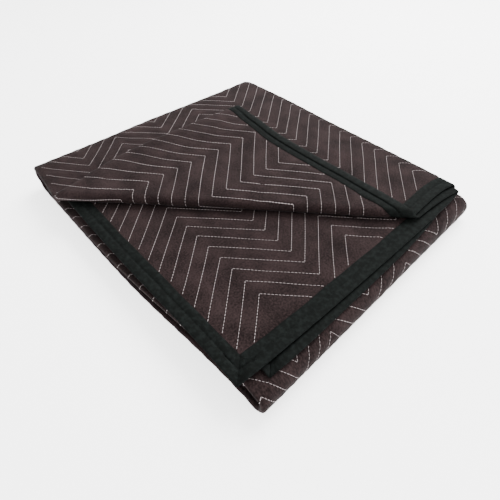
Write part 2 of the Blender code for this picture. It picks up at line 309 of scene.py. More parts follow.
def quarter_fold(along, across, face):
    """The fold in quarters: x and the height in layers, for places on the cloth."""
    first_end = section(along, FIRST_END)
    fourth_end = section(along, FOURTH_END)
    near = section(along, NEAR)
    far = section(along, FAR)
    lift = face / PITCH
    i = panel_of(across, LONG)
    share = (across - LONG[i]) / (LONG[i + 1] - LONG[i])
    turn = np.pi * share
    tight_far = 0.5 * PITCH - face
    tight_near = 0.5 * PITCH + face
    wide_far = 1.5 * PITCH + face
    x = np.select([i == 0, i == 1, i == 2, i == 3, i == 4, i == 5, i == 6], [
        first_end + share * (far - first_end),
        far + tight_far * np.sin(turn),
        far + share * (near - far),
        near - tight_near * np.sin(turn),
        near + share * (far - near),
        far + wide_far * np.sin(turn),
        far + share * (fourth_end - far)])
    level = np.select([i == 0, i == 1, i == 2, i == 3, i == 4, i == 5, i == 6], [
        1.0 + lift,
        1.5 - tight_far / PITCH * np.cos(turn),
        2.0 - lift,
        2.5 - tight_near / PITCH * np.cos(turn),
        3.0 + lift,
        1.5 + wide_far / PITCH * np.cos(turn),
        0.0 - lift])
    return x, level


def third_fold(along, across, x, level):
    """The fold in thirds: y and z for places on the folded quarters."""
    long_axis = LONG_FOLD[0] + LONG_FOLD[1] * x
    short_axis = SHORT_FOLD[0] + SHORT_FOLD[1] * x
    i = panel_of(along, WIDE)
    share = (along - WIDE[i]) / (WIDE[i + 1] - WIDE[i])
    out = curve(across, OPEN_PLACES, OPEN_VALUES)
    long_turn = np.pi * (1.0 - share)
    long_radius = (2.5 + level) * PITCH
    short_turn = np.pi * share
    short_radius = (0.5 + level) * PITCH
    end = INNER_END[0] + INNER_END[1] * level
    y = np.select([i == 0, i == 1, i == 2, i == 3, i == 4], [
        out + share * (long_axis - out),
        long_axis + long_radius * np.sin(long_turn),
        long_axis + share * (short_axis - long_axis),
        short_axis - short_radius * np.sin(short_turn),
        short_axis + share * (end - short_axis)])
    z = np.select([i == 0, i == 1, i == 2, i == 3, i == 4], [
        (TOP_THIRD + level) * PITCH,
        5.5 * PITCH - long_radius * np.cos(long_turn),
        (3.0 - level) * PITCH,
        3.5 * PITCH - short_radius * np.cos(short_turn),
        (4.0 + level) * PITCH])
    return y, z


def third_lengths(across, x, level):
    """Where the open end lies, and the length of each panel and bend of the fold in thirds."""
    long_axis = LONG_FOLD[0] + LONG_FOLD[1] * x
    short_axis = SHORT_FOLD[0] + SHORT_FOLD[1] * x
    out = curve(across, OPEN_PLACES, OPEN_VALUES)
    end = INNER_END[0] + INNER_END[1] * level
    return out, [long_axis - out, OUTER_ARCS[0], long_axis - short_axis, OUTER_ARCS[1],
                 end - short_axis]


def path_of(along, across, x, level):
    """Way along the fold in thirds, measured on the outermost layer, with y of the top third."""
    out, lengths = third_lengths(across, x, level)
    i = panel_of(along, WIDE)
    share = (along - WIDE[i]) / (WIDE[i + 1] - WIDE[i])
    path = out
    for k, length in enumerate(lengths):
        path = path + np.where(i > k, 1.0, np.where(i == k, share, 0.0)) * length
    return path


def along_of(path, across, x, level):
    """The inverse of path_of."""
    out, lengths = third_lengths(across, x, level)
    along = np.zeros(np.shape(path))
    left = path - out
    for k, length in enumerate(lengths):
        full = WIDE[k + 1] - WIDE[k]
        first = k == 0
        last = k == len(lengths) - 1
        part = np.clip(left, -np.inf if first else 0.0, np.inf if last else length)
        along = along + part / length * full
        left = left - length
    return along


def across_of(panel, along, x):
    """Way along the fold in quarters for x on one panel."""
    near = section(along, NEAR)
    far = section(along, FAR)
    if panel == "first":
        begin = section(along, FIRST_END)
        share = (x - begin) / (far - begin)
    elif panel == "second":
        share = (far - x) / (far - near)
    elif panel == "third":
        share = (x - near) / (far - near)
    else:
        share = (far - x) / (far - section(along, FOURTH_END))
    i = [name for name, _ in LONG_PANELS].index(panel)
    return LONG[i] + share * (LONG[i + 1] - LONG[i])


def x_on(panel, along, across):
    """The inverse of across_of, which runs on straight where the cloth bends."""
    near = section(along, NEAR)
    far = section(along, FAR)
    i = [name for name, _ in LONG_PANELS].index(panel)
    share = (across - LONG[i]) / (LONG[i + 1] - LONG[i])
    begin, end = {"first": (section(along, FIRST_END), far), "second": (far, near),
                  "third": (near, far), "fourth": (far, section(along, FOURTH_END))}[panel]
    return begin + share * (end - begin)


def follow_near(panel, square, along):
    """Moves places near the near fold with it; elsewhere they stay."""
    if panel not in ("second", "third"):
        return square
    shift = (section(along, NEAR) - NEAR_FOLD) / (FOLLOWS - NEAR_FOLD)
    return square + shift * np.maximum(FOLLOWS - square, 0.0)


def unfollow_near(panel, x, along):
    """The inverse of follow_near."""
    if panel not in ("second", "third"):
        return x
    shift = (section(along, NEAR) - NEAR_FOLD) / (FOLLOWS - NEAR_FOLD)
    return np.where(x < FOLLOWS, (x - shift * FOLLOWS) / (1.0 - shift), x)


def slant(panel, square):
    corner_x, _, _, slope = PATTERNS[panel]
    return slope * (np.maximum(square, SLANT_FROM) - corner_x)


def cloth_place(panel, square, path_square):
    """Place on the flat cloth for a place in a panel's own pattern of lines."""
    corner_x, corner_y, _, slope = PATTERNS[panel]
    leaning = square - slope * (np.clip(path_square, *LEAN_REACH) - corner_y)
    path = path_square + slant(panel, square)
    along = START_ALONG + 0.0 * path
    across = across_of(panel, along, leaning)
    for _ in range(PLACE_ROUNDS):
        x = follow_near(panel, leaning, along)
        across = across_of(panel, along, x)
        along = along_of(path, across, x, LEVELS[panel])
    return along, across


def pattern_place(panel, along, across):
    """The inverse of cloth_place: a place in the panel's own pattern of lines."""
    corner_x, corner_y, _, slope = PATTERNS[panel]
    x = x_on(panel, along, across)
    leaning = unfollow_near(panel, x, along)
    path = path_of(along, across, x, LEVELS[panel])
    square = leaning
    for _ in range(PATTERN_ROUNDS):
        path_square = path - slant(panel, square)
        square = leaning + slope * (np.clip(path_square, *LEAN_REACH) - corner_y)
    return square, path_square


def line_phase(panel, square, path_square):
    """Counts the lines of the zigzag: whole numbers lie on a line."""
    corner_x, corner_y, run, _ = PATTERNS[panel]
    turn = np.abs((square - corner_x + run) % (2.0 * run) - run) / run * ARM_RISE
    return (path_square - corner_y + turn) / LINE_SPACING


def corner_distance(x, y):
    return (x + y) / math.sqrt(2.0) - CORNER_FOLD


def turn_corner(x, y, z, second_or_third):
    """The corner of the two top layers, rolled back over the bundle."""
    level = z / PITCH - TOP_THIRD
    beyond = -corner_distance(x, y)
    limit = section(0.0, FAR) - 1.0
    turned = second_or_third & (beyond > 0.0) & (x < limit)
    turned = turned & (level > CORNER_LEVELS[0]) & (level < CORNER_LEVELS[1])
    along = (x - y) / math.sqrt(2.0)
    radius = (3.5 - level) * PITCH
    near = section(0.5 * WIDE[1], NEAR)
    share = smooth(1.0 - (x - near) / CORNER_BLEND)
    mean = radius + share * (PITCH - radius)
    arc = math.pi * mean
    turn = np.pi * beyond / arc
    rolled = beyond < arc
    away = np.where(rolled, -radius * np.sin(turn), beyond - arc)
    up = smooth(away / CORNER_RISES)
    height = np.where(rolled, 3.5 * PITCH - radius * np.cos(turn),
                      3.5 * PITCH + radius + CORNER_LIFT * up * up)
    distance = away + CORNER_FOLD
    new_x = (distance + along) / math.sqrt(2.0)
    new_y = (distance - along) / math.sqrt(2.0)
    return (np.where(turned, new_x, x), np.where(turned, new_y, y),
            np.where(turned, TOP_THIRD * PITCH + height, z))


def settle(x, y, z):
    """Slow swells and creases of the bundle, which grow with the height."""
    rise = 1.0
    for wave_x, wave_y, phase_x, phase_y, share in SWELLS:
        wave = np.sin(2 * np.pi * x / wave_x + phase_x)
        rise = rise + share * wave * np.sin(2 * np.pi * y / wave_y + phase_y)
    for place_x, place_y, direction, half_length, half_width, share in CREASES:
        turn = math.radians(direction)
        run = (x - place_x) * math.cos(turn) + (y - place_y) * math.sin(turn)
        off = (y - place_y) * math.cos(turn) - (x - place_x) * math.sin(turn)
        off = off + CREASE_BOW * run * run
        high = smooth(z / (CREASE_DEPTH * PITCH))
        rise = rise + share * high * np.exp(-(run / half_length) ** 2 - (off / half_width) ** 2)
    return x, y, (z + TAPE_OUTER) * rise


def folded(flat):
    """Where points of the flat cloth, N by 3 in mm, lie in the folded bundle."""
    along, across, face = flat.T
    x, level = quarter_fold(along, across, face)
    y, z = third_fold(along, across, x, level)
    second_or_third = (across > 0.5 * (LONG[1] + LONG[2])) & (across < 0.5 * (LONG[5] + LONG[6]))
    x, y, z = turn_corner(x, y, z, second_or_third)
    x, y, z = settle(x, y, z)
    return np.stack([x, y, z], axis=1)


def points_of(mesh):
    points = np.zeros(len(mesh.vertices) * 3)
    mesh.vertices.foreach_get("co", points)
    return points.reshape(-1, 3)


def bundle_shift():
    """From the folding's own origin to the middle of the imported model's footprint."""
    rows = np.linspace(0.0, WIDE[-1], 240)
    columns = np.linspace(0.0, LONG[-1], 1200)
    along, across = [grid.ravel() for grid in np.meshgrid(rows, columns)]
    faces = [np.stack([along, across, 0.0 * along + side * TAPE_OUTER], axis=1) for side in (-1, 1)]
    points = np.concatenate([folded(face) for face in faces])
    low, high = points.min(axis=0), points.max(axis=0)
    box_low, box_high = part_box("quilted_cloth")
    middle = 0.5 * (np.array(box_low) + np.array(box_high)) / MM
    shift = middle - 0.5 * (low + high)
    return np.array([shift[0], shift[1], -low[2]])


SHIFT = bundle_shift()


def hex_linear(code):
    """Linear colour of an sRGB hex value."""
    values = [int(code[i:i + 2], 16) / 255.0 for i in (1, 3, 5)]
    return tuple(v / 12.92 if v <= 0.04045 else ((v + 0.055) / 1.055) ** 2.4 for v in values)


def add_node(tree, kind, settings=None, links=None):
    """Adds one node; links maps its sockets to values or to other nodes' sockets."""
    node = tree.nodes.new(kind)
    for name, value in (settings or {}).items():
        setattr(node, name, value)
    for name, value in (links or {}).items():
        socket = node.inputs[name]
        if isinstance(value, bpy.types.NodeSocket):
            tree.links.new(value, socket)
        else:
            socket.default_value = value
    return node


def new_material(name):
    made = bpy.data.materials.new(name)
    made.use_nodes = True
    return made, made.node_tree, made.node_tree.nodes["Principled BSDF"]


def quilted_cotton_polyester(look):
    """Woven cotton and polyester: matt, slightly hairy, its colour mottled by the mixed yarns, and
    darkened along the quilting lines as painted shade in the grooves.
    """
    made, tree, shader = new_material("quilted_woven_cotton_polyester")
    place = add_node(tree, "ShaderNodeUVMap", {"uv_map": "cloth_mm"})
    lines = add_node(tree, "ShaderNodeAttribute", {"attribute_name": "line_distance"})
    yarn = add_node(tree, "ShaderNodeTexNoise", {"noise_dimensions": "2D"},
                    {"Vector": place.outputs["UV"], "Scale": 1.0 / 2.6, "Detail": 3.0,
                     "Roughness": 0.7})
    patch = add_node(tree, "ShaderNodeTexNoise", {"noise_dimensions": "2D"},
                     {"Vector": place.outputs["UV"], "Scale": 1.0 / 38.0, "Detail": 2.0})
    mottle = add_node(tree, "ShaderNodeMath", {"operation": "MULTIPLY_ADD"},
                      {0: patch.outputs["Fac"], 1: 0.45, 2: yarn.outputs["Fac"]})
    colours = add_node(tree, "ShaderNodeValToRGB", {}, {"Fac": mottle.outputs[0]})
    ramp = colours.color_ramp
    ramp.elements[0].position = 0.55
    ramp.elements[0].color = (*look.cloth_dark, 1.0)
    ramp.elements[1].position = 0.92
    ramp.elements[1].color = (*look.cloth_light, 1.0)
    # painted shade: near the quilting lines the cloth's colour is darkened down to 0.55, standing
    # in for the shade that falls in the stitched grooves
    painted_groove_shade = add_node(tree, "ShaderNodeMapRange", {"interpolation_type": "SMOOTHSTEP"},
                      {"Value": lines.outputs["Fac"], "From Min": 0.0, "From Max": 0.16,
                       "To Min": 0.55, "To Max": 1.0})
    shade = add_node(tree, "ShaderNodeVectorMath", {"operation": "SCALE"},
                     {"Vector": colours.outputs["Color"], "Scale": painted_groove_shade.outputs["Result"]})
    tree.links.new(shade.outputs[0], shader.inputs["Base Color"])
    weave = add_node(tree, "ShaderNodeTexNoise", {"noise_dimensions": "2D"},
                     {"Vector": place.outputs["UV"], "Scale": 1.0 / 1.3, "Detail": 2.0})
    crumple = add_node(tree, "ShaderNodeTexNoise", {"noise_dimensions": "2D"},
                       {"Vector": place.outputs["UV"], "Scale": 1.0 / 16.0, "Detail": 3.0})
    height = add_node(tree, "ShaderNodeMath", {"operation": "MULTIPLY_ADD"},
                      {0: crumple.outputs["Fac"], 1: 3.0, 2: weave.outputs["Fac"]})
    bump = add_node(tree, "ShaderNodeBump", {}, {"Height": height.outputs[0], "Strength": 0.5,
                                                "Distance": 0.0005})
    tree.links.new(bump.outputs["Normal"], shader.inputs["Normal"])
    shader.inputs["Roughness"].default_value = 0.9
    shader.inputs["Specular IOR Level"].default_value = 0.06
    shader.inputs["Sheen Weight"].default_value = 0.03
    shader.inputs["Sheen Roughness"].default_value = 0.4
    return made


def woven_polyester_tape(look):
    """Woven polyester tape: nearly black, its flat filament yarns give a faint greenish gleam."""
    made, tree, shader = new_material("woven_polyester_tape")
    place = add_node(tree, "ShaderNodeUVMap", {"uv_map": "cloth_mm"})
    worn = add_node(tree, "ShaderNodeTexNoise", {"noise_dimensions": "2D"},
                    {"Vector": place.outputs["UV"], "Scale": 1.0 / 7.0, "Detail": 4.0,
                     "Roughness": 0.65})
    colours = add_node(tree, "ShaderNodeValToRGB", {}, {"Fac": worn.outputs["Fac"]})
    ramp = colours.color_ramp
    ramp.elements[0].position = 0.42
    ramp.elements[0].color = (*look.tape_dark, 1.0)
    ramp.elements[1].position = 0.66
    ramp.elements[1].color = (*look.tape_light, 1.0)
    tree.links.new(colours.outputs["Color"], shader.inputs["Base Color"])
    ribs = add_node(tree, "ShaderNodeTexWave",
                    {"wave_type": "BANDS", "bands_direction": "DIAGONAL"},
                    {"Vector": place.outputs["UV"], "Scale": 1.0 / 11.0, "Distortion": 3.0,
                     "Detail": 3.0, "Detail Scale": 2.0})
    bump = add_node(tree, "ShaderNodeBump", {}, {"Height": ribs.outputs["Fac"], "Strength": 0.25,
                                                "Distance": 0.0003})
    tree.links.new(bump.outputs["Normal"], shader.inputs["Normal"])
    shader.inputs["Roughness"].default_value = 0.8
    shader.inputs["Specular IOR Level"].default_value = 0.035
    return made


def spun_polyester_thread(look):
    """Spun polyester sewing thread: soft, fuzzy, without gloss."""
    made, tree, shader = new_material("spun_polyester_thread")
    place = add_node(tree, "ShaderNodeTexCoord")
    fuzz = add_node(tree, "ShaderNodeTexNoise", {},
                    {"Vector": place.outputs["Object"], "Scale": 900.0})
    colours = add_node(tree, "ShaderNodeValToRGB", {}, {"Fac": fuzz.outputs["Fac"]})
    ramp = colours.color_ramp
    ramp.elements[0].position = 0.3
    ramp.elements[0].color = (*(0.72 * value for value in look.thread), 1.0)
    ramp.elements[1].position = 0.7
    ramp.elements[1].color = (*look.thread, 1.0)
    tree.links.new(colours.outputs["Color"], shader.inputs["Base Color"])
    shader.inputs["Roughness"].default_value = 0.8
    return made


def backlit_matt_acrylic(look):
    """Matt translucent backdrop, lit from below to a plain white."""
    made, tree, shader = new_material("backlit_matt_acrylic")
    shader.inputs["Base Color"].default_value = (*look.floor, 1.0)
    shader.inputs["Roughness"].default_value = 0.9
    shader.inputs["Emission Color"].default_value = (1.0, 1.0, 1.0, 1.0)
    shader.inputs["Emission Strength"].default_value = FLOOR_GLOW
    return made


def cloth_stations():
    """Columns of the flat cloth: panel and place in its pattern, or place in a bend."""
    columns = []
    for k, (name, length) in enumerate(LONG_PANELS):
        if name == "turn":
            steps = TURN_STEPS[k]
            columns += [(name, LONG[k] + length * s / steps) for s in range(1, steps)]
            continue
        corner_x, _, run, _ = PATTERNS[name]
        step = run / (3 * FINE) * (3 if name == "fourth" else 1)
        low, high = COLUMN_ENDS[name]
        places = [corner_x + step * m for m in range(-MOST_COLUMNS, MOST_COLUMNS + 1)
                  if low < corner_x + step * m < high]
        if name in ("second", "fourth"):
            places.reverse()
        borders = [("border", LONG[k])] if k else []
        columns += borders + [(name, place) for place in places] + [("border", LONG[k + 1])]
        if k == len(LONG_PANELS) - 1:
            columns.pop()
            columns.append((name, low - LAST_COLUMN))
    return columns


def cloth_rows():
    """Rows of the flat cloth: way along the fold in thirds, closer in the bends."""
    step = LINE_SPACING / FINE
    paths = [step * m for m in range(*FIRST_ROWS)]
    for count, share in ROW_RUNS:
        paths += [paths[-1] + share * step * m for m in range(1, count + 1)]
    while paths[-1] < LAST_ROW:
        paths.append(paths[-1] + LINE_SPACING)
    return paths


def cloth_grid():
    """Flat places of a grid whose cells' diagonals follow the quilting of each panel."""
    columns = cloth_stations()
    rows = np.array(cloth_rows())
    step = LINE_SPACING / FINE
    places = np.zeros((len(columns), len(rows), 2))
    for c, (name, at) in enumerate(columns):
        if name in ("turn", "border"):
            across = np.full(len(rows), at)
            along = START_ALONG + 0.0 * rows
            for _ in range(PLACE_ROUNDS):
                x, level = quarter_fold(along, across, 0.0)
                along = along_of(rows, across, x, level)
        else:
            shift = PATTERNS[name][1] % step
            shift = shift - step if shift > 0.5 * step else shift
            along, across = cloth_place(name, np.full(len(rows), at), rows + shift)
        places[c, :, 0] = along
        places[c, :, 1] = across
    return places


def ordered_across(places):
    """Keeps each column clear of the one before it."""
    for c in range(1, len(places)):
        places[c, :, 1] = np.maximum(places[c, :, 1], places[c - 1, :, 1] + LEAST_COLUMN)
    return places


def flat_lines(along, across):
    """For places on the cloth: lines counted, and the distance from the nearest in half gaps."""
    i = panel_of(across, LONG)
    near_turn = np.where(along < WIDE[1], 1, 2)
    pattern = np.select([i <= 1, i == 2, i == 3, i <= 5], [0, 1, near_turn, 2], 3)
    phase = np.zeros(len(along))
    for k, name in enumerate(("first", "second", "third", "fourth")):
        picked = pattern == k
        if picked.any():
            square, path_square = pattern_place(name, along[picked], across[picked])
            phase[picked] = line_phase(name, square, path_square)
    nearest = np.maximum(np.round(phase), OUTERMOST_LINE)
    return phase, np.minimum(np.abs(phase - nearest) * 2.0, 1.0)


def half_thickness(along, across, distance, look):
    """Half of the cloth's thickness: full between the lines, thin on them and at the edges."""
    puff = 1.0 - (1.0 - np.clip(distance, 0.0, 1.0)) ** PUFF_POWER
    half = (look.line_half + (look.puff_half - look.line_half) * puff) / MM
    edge = np.minimum(np.minimum(along, WIDE[-1] - along), np.minimum(across, LONG[-1] - across))
    open_cloth = smooth((edge - TAPE_WIDTH - PUFF_STOPS) / PUFF_BLEND)
    return 0.5 * PINCHED + (half - 0.5 * PINCHED) * open_cloth


def bisect(bm, axis, place, clear_low=False, clear_high=False):
    point = [0.0, 0.0, 0.0]
    normal = [0.0, 0.0, 0.0]
    point[axis] = place
    normal[axis] = 1.0
    geometry = bm.verts[:] + bm.edges[:] + bm.faces[:]
    bmesh.ops.bisect_plane(bm, geom=geometry, plane_co=point, plane_no=normal, dist=0.02,
                           clear_inner=clear_low, clear_outer=clear_high)


def face_outward_when_folded(bm):
    """Turns the flat mesh's faces inward, because the folding mirrors it."""
    bmesh.ops.recalc_face_normals(bm, faces=bm.faces)
    bmesh.ops.reverse_faces(bm, faces=bm.faces)


def rolled_faces(bm):
    """Faces of the top layers that lie in the roll of the turned corner."""
    middles = np.array([face.calc_center_median()[:] for face in bm.faces])
    along, across = middles[:, 0], middles[:, 1]
    x, level = quarter_fold(along, across, 0.0)
    y, _ = third_fold(along, across, x, level)
    away = corner_distance(x, y)
    picked = (along < WIDE[1]) & (level > ROLL_LEVEL) & (across < LONG[5])
    picked = picked & (away > ROLL_BAND[0]) & (away < ROLL_BAND[1])
    return [face for face, inside in zip(bm.faces, picked) if inside]


def split_along_lines(bm):
    """Cuts each four-sided face along the diagonal that runs with the quilting."""
    bm.verts.index_update()
    flat = np.array([vertex.co[:] for vertex in bm.verts])
    phase, _ = flat_lines(flat[:, 0], flat[:, 1])
    first = []
    second = []
    for face in bm.faces:
        if len(face.verts) != 4:
            continue
        a, b, c, d = [phase[vertex.index] for vertex in face.verts]
        (first if abs(a - c) <= abs(b - d) else second).append(face)
    bmesh.ops.triangulate(bm, faces=first, quad_method="FIXED")
    bmesh.ops.triangulate(bm, faces=[face for face in second if face.is_valid],
                          quad_method="ALTERNATE")


def new_piece(name, bm, material):
    """A finished object from a flat mesh: it is folded, put in place and given its finish."""
    if not bm.faces:
        raise RuntimeError(name + " has no faces")
    mesh = bpy.data.meshes.new(name)
    bm.to_mesh(mesh)
    bm.free()
    flat = points_of(mesh)
    give_places(mesh, flat)
    placed = (folded(flat) + SHIFT) * MM
    placed[:, 2] = np.maximum(placed[:, 2], 0.0)
    mesh.vertices.foreach_set("co", placed.ravel())
    mesh.materials.append(material)
    mesh.shade_smooth()
    mesh.update()
    made = bpy.data.objects.new(name, mesh)
    bpy.context.scene.collection.objects.link(made)
    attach(made, "root")
    return made


def give_places(mesh, flat):
    """A UV map that says where each point lay on the flat cloth, in mm."""
    layer = mesh.uv_layers.new(name="cloth_mm")
    corners = np.zeros(len(mesh.loops), int)
    mesh.loops.foreach_get("vertex_index", corners)
    layer.data.foreach_set("uv", flat[corners][:, :2].ravel())


def cloth_bmesh(look):
    """The quilted cloth, raised between its lines on both faces."""
    places = ordered_across(cloth_grid())
    count_across, count_along, _ = places.shape
    bm = bmesh.new()
    bmesh.ops.create_grid(bm, x_segments=count_across - 1, y_segments=count_along - 1, size=1.0)
    for vertex in bm.verts:
        c = round((vertex.co.x + 1.0) * 0.5 * (count_across - 1))
        r = round((vertex.co.y + 1.0) * 0.5 * (count_along - 1))
        vertex.co = (*places[c, r], 0.0)
    for axis, last in ((0, WIDE[-1]), (1, LONG[-1])):
        bisect(bm, axis, 0.0, clear_low=True)
        bisect(bm, axis, last, clear_high=True)
        for place in (TAPE_WIDTH, TAPE_WIDTH + EDGE_BAND,
                      last - TAPE_WIDTH - EDGE_BAND, last - TAPE_WIDTH):
            bisect(bm, axis, place)
    edges = list({edge for face in rolled_faces(bm) for edge in face.edges})
    bmesh.ops.subdivide_edges(bm, edges=edges, cuts=2, use_grid_fill=True)
    split_along_lines(bm)
    bmesh.ops.triangulate(bm, faces=[face for face in bm.faces if len(face.verts) > 3])
    sheet = bm.faces[:]
    made = bmesh.ops.extrude_face_region(bm, geom=sheet, use_keep_orig=True)
    upper = [item for item in made["geom"] if isinstance(item, bmesh.types.BMVert)]
    for vertex in bm.verts:
        vertex.co.z = -1.0
    for vertex in upper:
        vertex.co.z = 1.0
    flat = np.array([vertex.co[:] for vertex in bm.verts])
    _, distance = flat_lines(flat[:, 0], flat[:, 1])
    half = half_thickness(flat[:, 0], flat[:, 1], distance, look)
    layer = bm.verts.layers.float.new("line_distance")
    for vertex, side, share, near_line in zip(bm.verts, flat[:, 2], half, distance):
        vertex.co.z = side * share
        vertex[layer] = near_line
    face_outward_when_folded(bm)
    return bm


def tape_profile():
    """Section of a binding: depth in from the cloth's edge, and height. It is drawn in at the
    sewn row along its middle and at its inner edge."""
    rows = ((TAPE_WIDTH, -0.1), (TAPE_WIDTH - 1.5, 0.3), (19.0, 0.45), (14.4, 0.4), (13.4, -0.35),
            (12.6, -0.35), (11.6, 0.4), (6.0, 0.45), (1.0, 0.3), (-TAPE_EDGE + 0.4, -0.4))
    outer = [(depth, TAPE_OUTER - 0.45 + rise) for depth, rise in rows] + [(-TAPE_EDGE, 0.0)]
    upper = outer[:-1]
    slot = 0.5 * PINCHED + 0.5 * CLEAR
    lower = [(depth, -height) for depth, height in reversed(upper)]
    inner = [(TAPE_WIDTH, -slot), (-0.5 * CLEAR, -slot), (-0.5 * CLEAR, slot), (TAPE_WIDTH, slot)]
    return upper + [outer[-1]] + lower + inner


def tape_stations(panels, begins, length, open_step):
    places = []
    for k, (name, size) in enumerate(panels):
        step = TURN_STEP if name == "turn" else open_step
        count = max(4, round(size / step))
        places += [begins[k] + size * s / count for s in range(count + 1)]
    corner = TAPE_WIDTH + 2.0
    return sorted(set(round(p, 3) for p in places if corner < p < length - corner))


def tape_bmesh(side):
    """One binding, mitred at both ends, still flat."""
    runs_long = side in ("open", "inner")
    length = LONG[-1] if runs_long else WIDE[-1]
    far = WIDE[-1] if runs_long else LONG[-1]
    panels, begins = (LONG_PANELS, LONG) if runs_long else (WIDE_PANELS, WIDE)
    places = tape_stations(panels, begins, length, OPEN_TAPE_STEP if side == "open" else TAPE_STEP)
    bm = bmesh.new()
    ring = [bm.verts.new((depth, 0.0, height)) for depth, height in tape_profile()]
    made = bmesh.ops.extrude_face_region(bm, geom=[bm.faces.new(ring)])
    end = [item for item in made["geom"] if isinstance(item, bmesh.types.BMVert)]
    bmesh.ops.translate(bm, vec=(0.0, length, 0.0), verts=end)
    mitre = 0.5 * CLEAR * math.sqrt(2.0)
    for vertex in ring:
        vertex.co.y = vertex.co.x + mitre
    for vertex in end:
        vertex.co.y = length - vertex.co.x - mitre
    for place in places:
        bisect(bm, 1, place)
    for vertex in bm.verts:
        depth, run, height = vertex.co
        wave = math.sin(run / TAPE_WAVES[0]) * math.sin(run / TAPE_WAVES[1] + 1.0)
        depth += TAPE_WAVER * wave * smooth(depth / TAPE_WIDTH)
        if side in ("inner", "fourth"):
            depth = far - depth
        vertex.co = (depth, run, height) if runs_long else (run, depth, height)
    bmesh.ops.triangulate(bm, faces=[face for face in bm.faces if len(face.verts) > 4])
    face_outward_when_folded(bm)
    return bm


def stitch_rows(panel, x_low, x_high, path_low, path_high, pitch):
    """Middles and directions of the stitches on one panel, in its pattern's own places."""
    corner_x, corner_y, run, _ = PATTERNS[panel]
    arm = math.hypot(run, ARM_RISE)
    count = max(1, round(arm / pitch))
    share = (np.arange(count) + 0.5) / count
    lowest = math.floor((path_low - corner_y) / LINE_SPACING) - 1
    highest = math.ceil((path_high - corner_y + ARM_RISE) / LINE_SPACING)
    rows = []
    for m in range(math.floor((x_low - corner_x) / run), math.ceil((x_high - corner_x) / run)):
        down = m % 2 == 0
        x = corner_x + run * (m + share)
        drop = ARM_RISE * (share if down else 1.0 - share)
        heading = math.atan2(-ARM_RISE if down else ARM_RISE, run)
        for k in range(max(OUTERMOST_LINE, lowest), highest + 1):
            waver = LINE_WAVER * np.sin(x / WAVER_LENGTH + WAVER_SHIFT * k)
            y = corner_y + LINE_SPACING * k - drop + waver
            inside = (x > x_low) & (x < x_high) & (y > path_low) & (y < path_high)
            rows.append(np.stack([x[inside], y[inside], np.full(inside.sum(), heading)], axis=1))
    return np.concatenate(rows)


def stitch_bmesh(count, length, width):
    """That many equal stitches, one after another in the mesh, and the points of one."""
    one = bmesh.new()
    bmesh.ops.create_uvsphere(one, u_segments=4, v_segments=3, radius=1.0)
    bmesh.ops.scale(one, vec=(width * 0.5, width * 0.5, length * 0.5), verts=one.verts)
    pattern = bpy.data.meshes.new("stitch")
    one.to_mesh(pattern)
    one.free()
    bm = bmesh.new()
    for _ in range(count):
        bm.from_mesh(pattern)
    local = points_of(pattern)
    bpy.data.meshes.remove(pattern)
    return bm, local


def length_property(name, description, default):
    return FloatProperty(name=name, description=description, default=default, min=0.0, precision=5,
                         unit="LENGTH")


def colour_property(name, description, code):
    return FloatVectorProperty(name=name, description=description, default=hex_linear(code), size=3,
                               min=0.0, max=1.0, subtype="COLOR")


class MovingPadLook(bpy.types.PropertyGroup):
    """Sizes and colours of the pad that a user would change."""

    line_half: length_property("Cloth on a Line", "Half thickness held down by the stitches",
                               0.00105)
    puff_half: length_property("Cloth between Lines",
                               "Half thickness of the padding at its fullest", 0.0022)
    stitch_pitch: length_property("Stitch Pitch", "From one stitch to the next", 0.005)
    stitch_width: length_property("Stitch Width", "Thickness of the quilting thread", 0.00085)
    cloth_dark: colour_property("Dark Cloth", "Darker yarns of the cloth", "#110b0b")
    cloth_light: colour_property("Light Cloth", "Lighter yarns of the cloth", "#2b2121")
    tape_dark: colour_property("Dark Binding", "Binding where it is new", "#0b0d0c")
    tape_light: colour_property("Light Binding", "Binding where it is worn", "#131615")
    thread: colour_property("Thread", "Quilting thread", "#a89d9d")
    floor: colour_property("Floor", "Backdrop", "#ffffff")


def showing(panel, along, across):
    """Which places on the cloth can be seen, and lie inside the bindings."""
    x, level = quarter_fold(along, across, 0.0)
    y, _ = third_fold(along, across, x, level)
    away = corner_distance(x, y)
    top = along < WIDE[1]
    inset = TAPE_WIDTH + SEEN_INSET
    inside = (along > inset) & (along < WIDE[-1] - inset)
    inside = inside & (across > inset) & (across < LONG[-1] - inset)
    if panel == "first":
        return inside & top & (away < FIRST_SEEN_TO)
    if panel == "second":
        return inside & top & (away < SECOND_SEEN_TO)
    return inside & ((away > THIRD_SEEN_FROM) | ~top)


def thread_bmesh(look):
    """Every stitch of the quilting, laid on the face of the flat cloth."""
    places = []
    for panel, x_low, x_high, path_low, path_high in STITCHED:
        rows = stitch_rows(panel, x_low, x_high, path_low, path_high, look.stitch_pitch / MM)
        along, across = cloth_place(panel, rows[:, 0], rows[:, 1])
        places.append((panel, rows[showing(panel, along, across)]))
    total = sum(len(rows) for _, rows in places)
    bm, local = stitch_bmesh(total, STITCH_FILL * look.stitch_pitch / MM, look.stitch_width / MM)
    run, side, up = local[None, :, 2], local[None, :, 0], local[None, :, 1]
    flat = []
    for panel, rows in places:
        x, path, heading = [column[:, None] for column in rows.T]
        left = -side if panel == "second" else side
        px = x + run * np.cos(heading) - left * np.sin(heading)
        py = path + run * np.sin(heading) + left * np.cos(heading)
        along, across = cloth_place(panel, px.ravel(), py.ravel())
        height = np.broadcast_to(STITCH_FLATNESS * up + STITCH_RISE, px.shape)
        flat.append(np.stack([along, across, height.ravel()], axis=1))
    flat = np.concatenate(flat)
    cloth = cloth_bmesh(look)
    surface = BVHTree.FromBMesh(cloth)
    cloth.free()
    for vertex, (along, across, height) in zip(bm.verts, flat):
        hit = surface.ray_cast((along, across, ABOVE_CLOTH), (0.0, 0.0, -1.0))[0]
        vertex.co = (along, across, (hit.z if hit else look.line_half / MM) + height)
    return bm


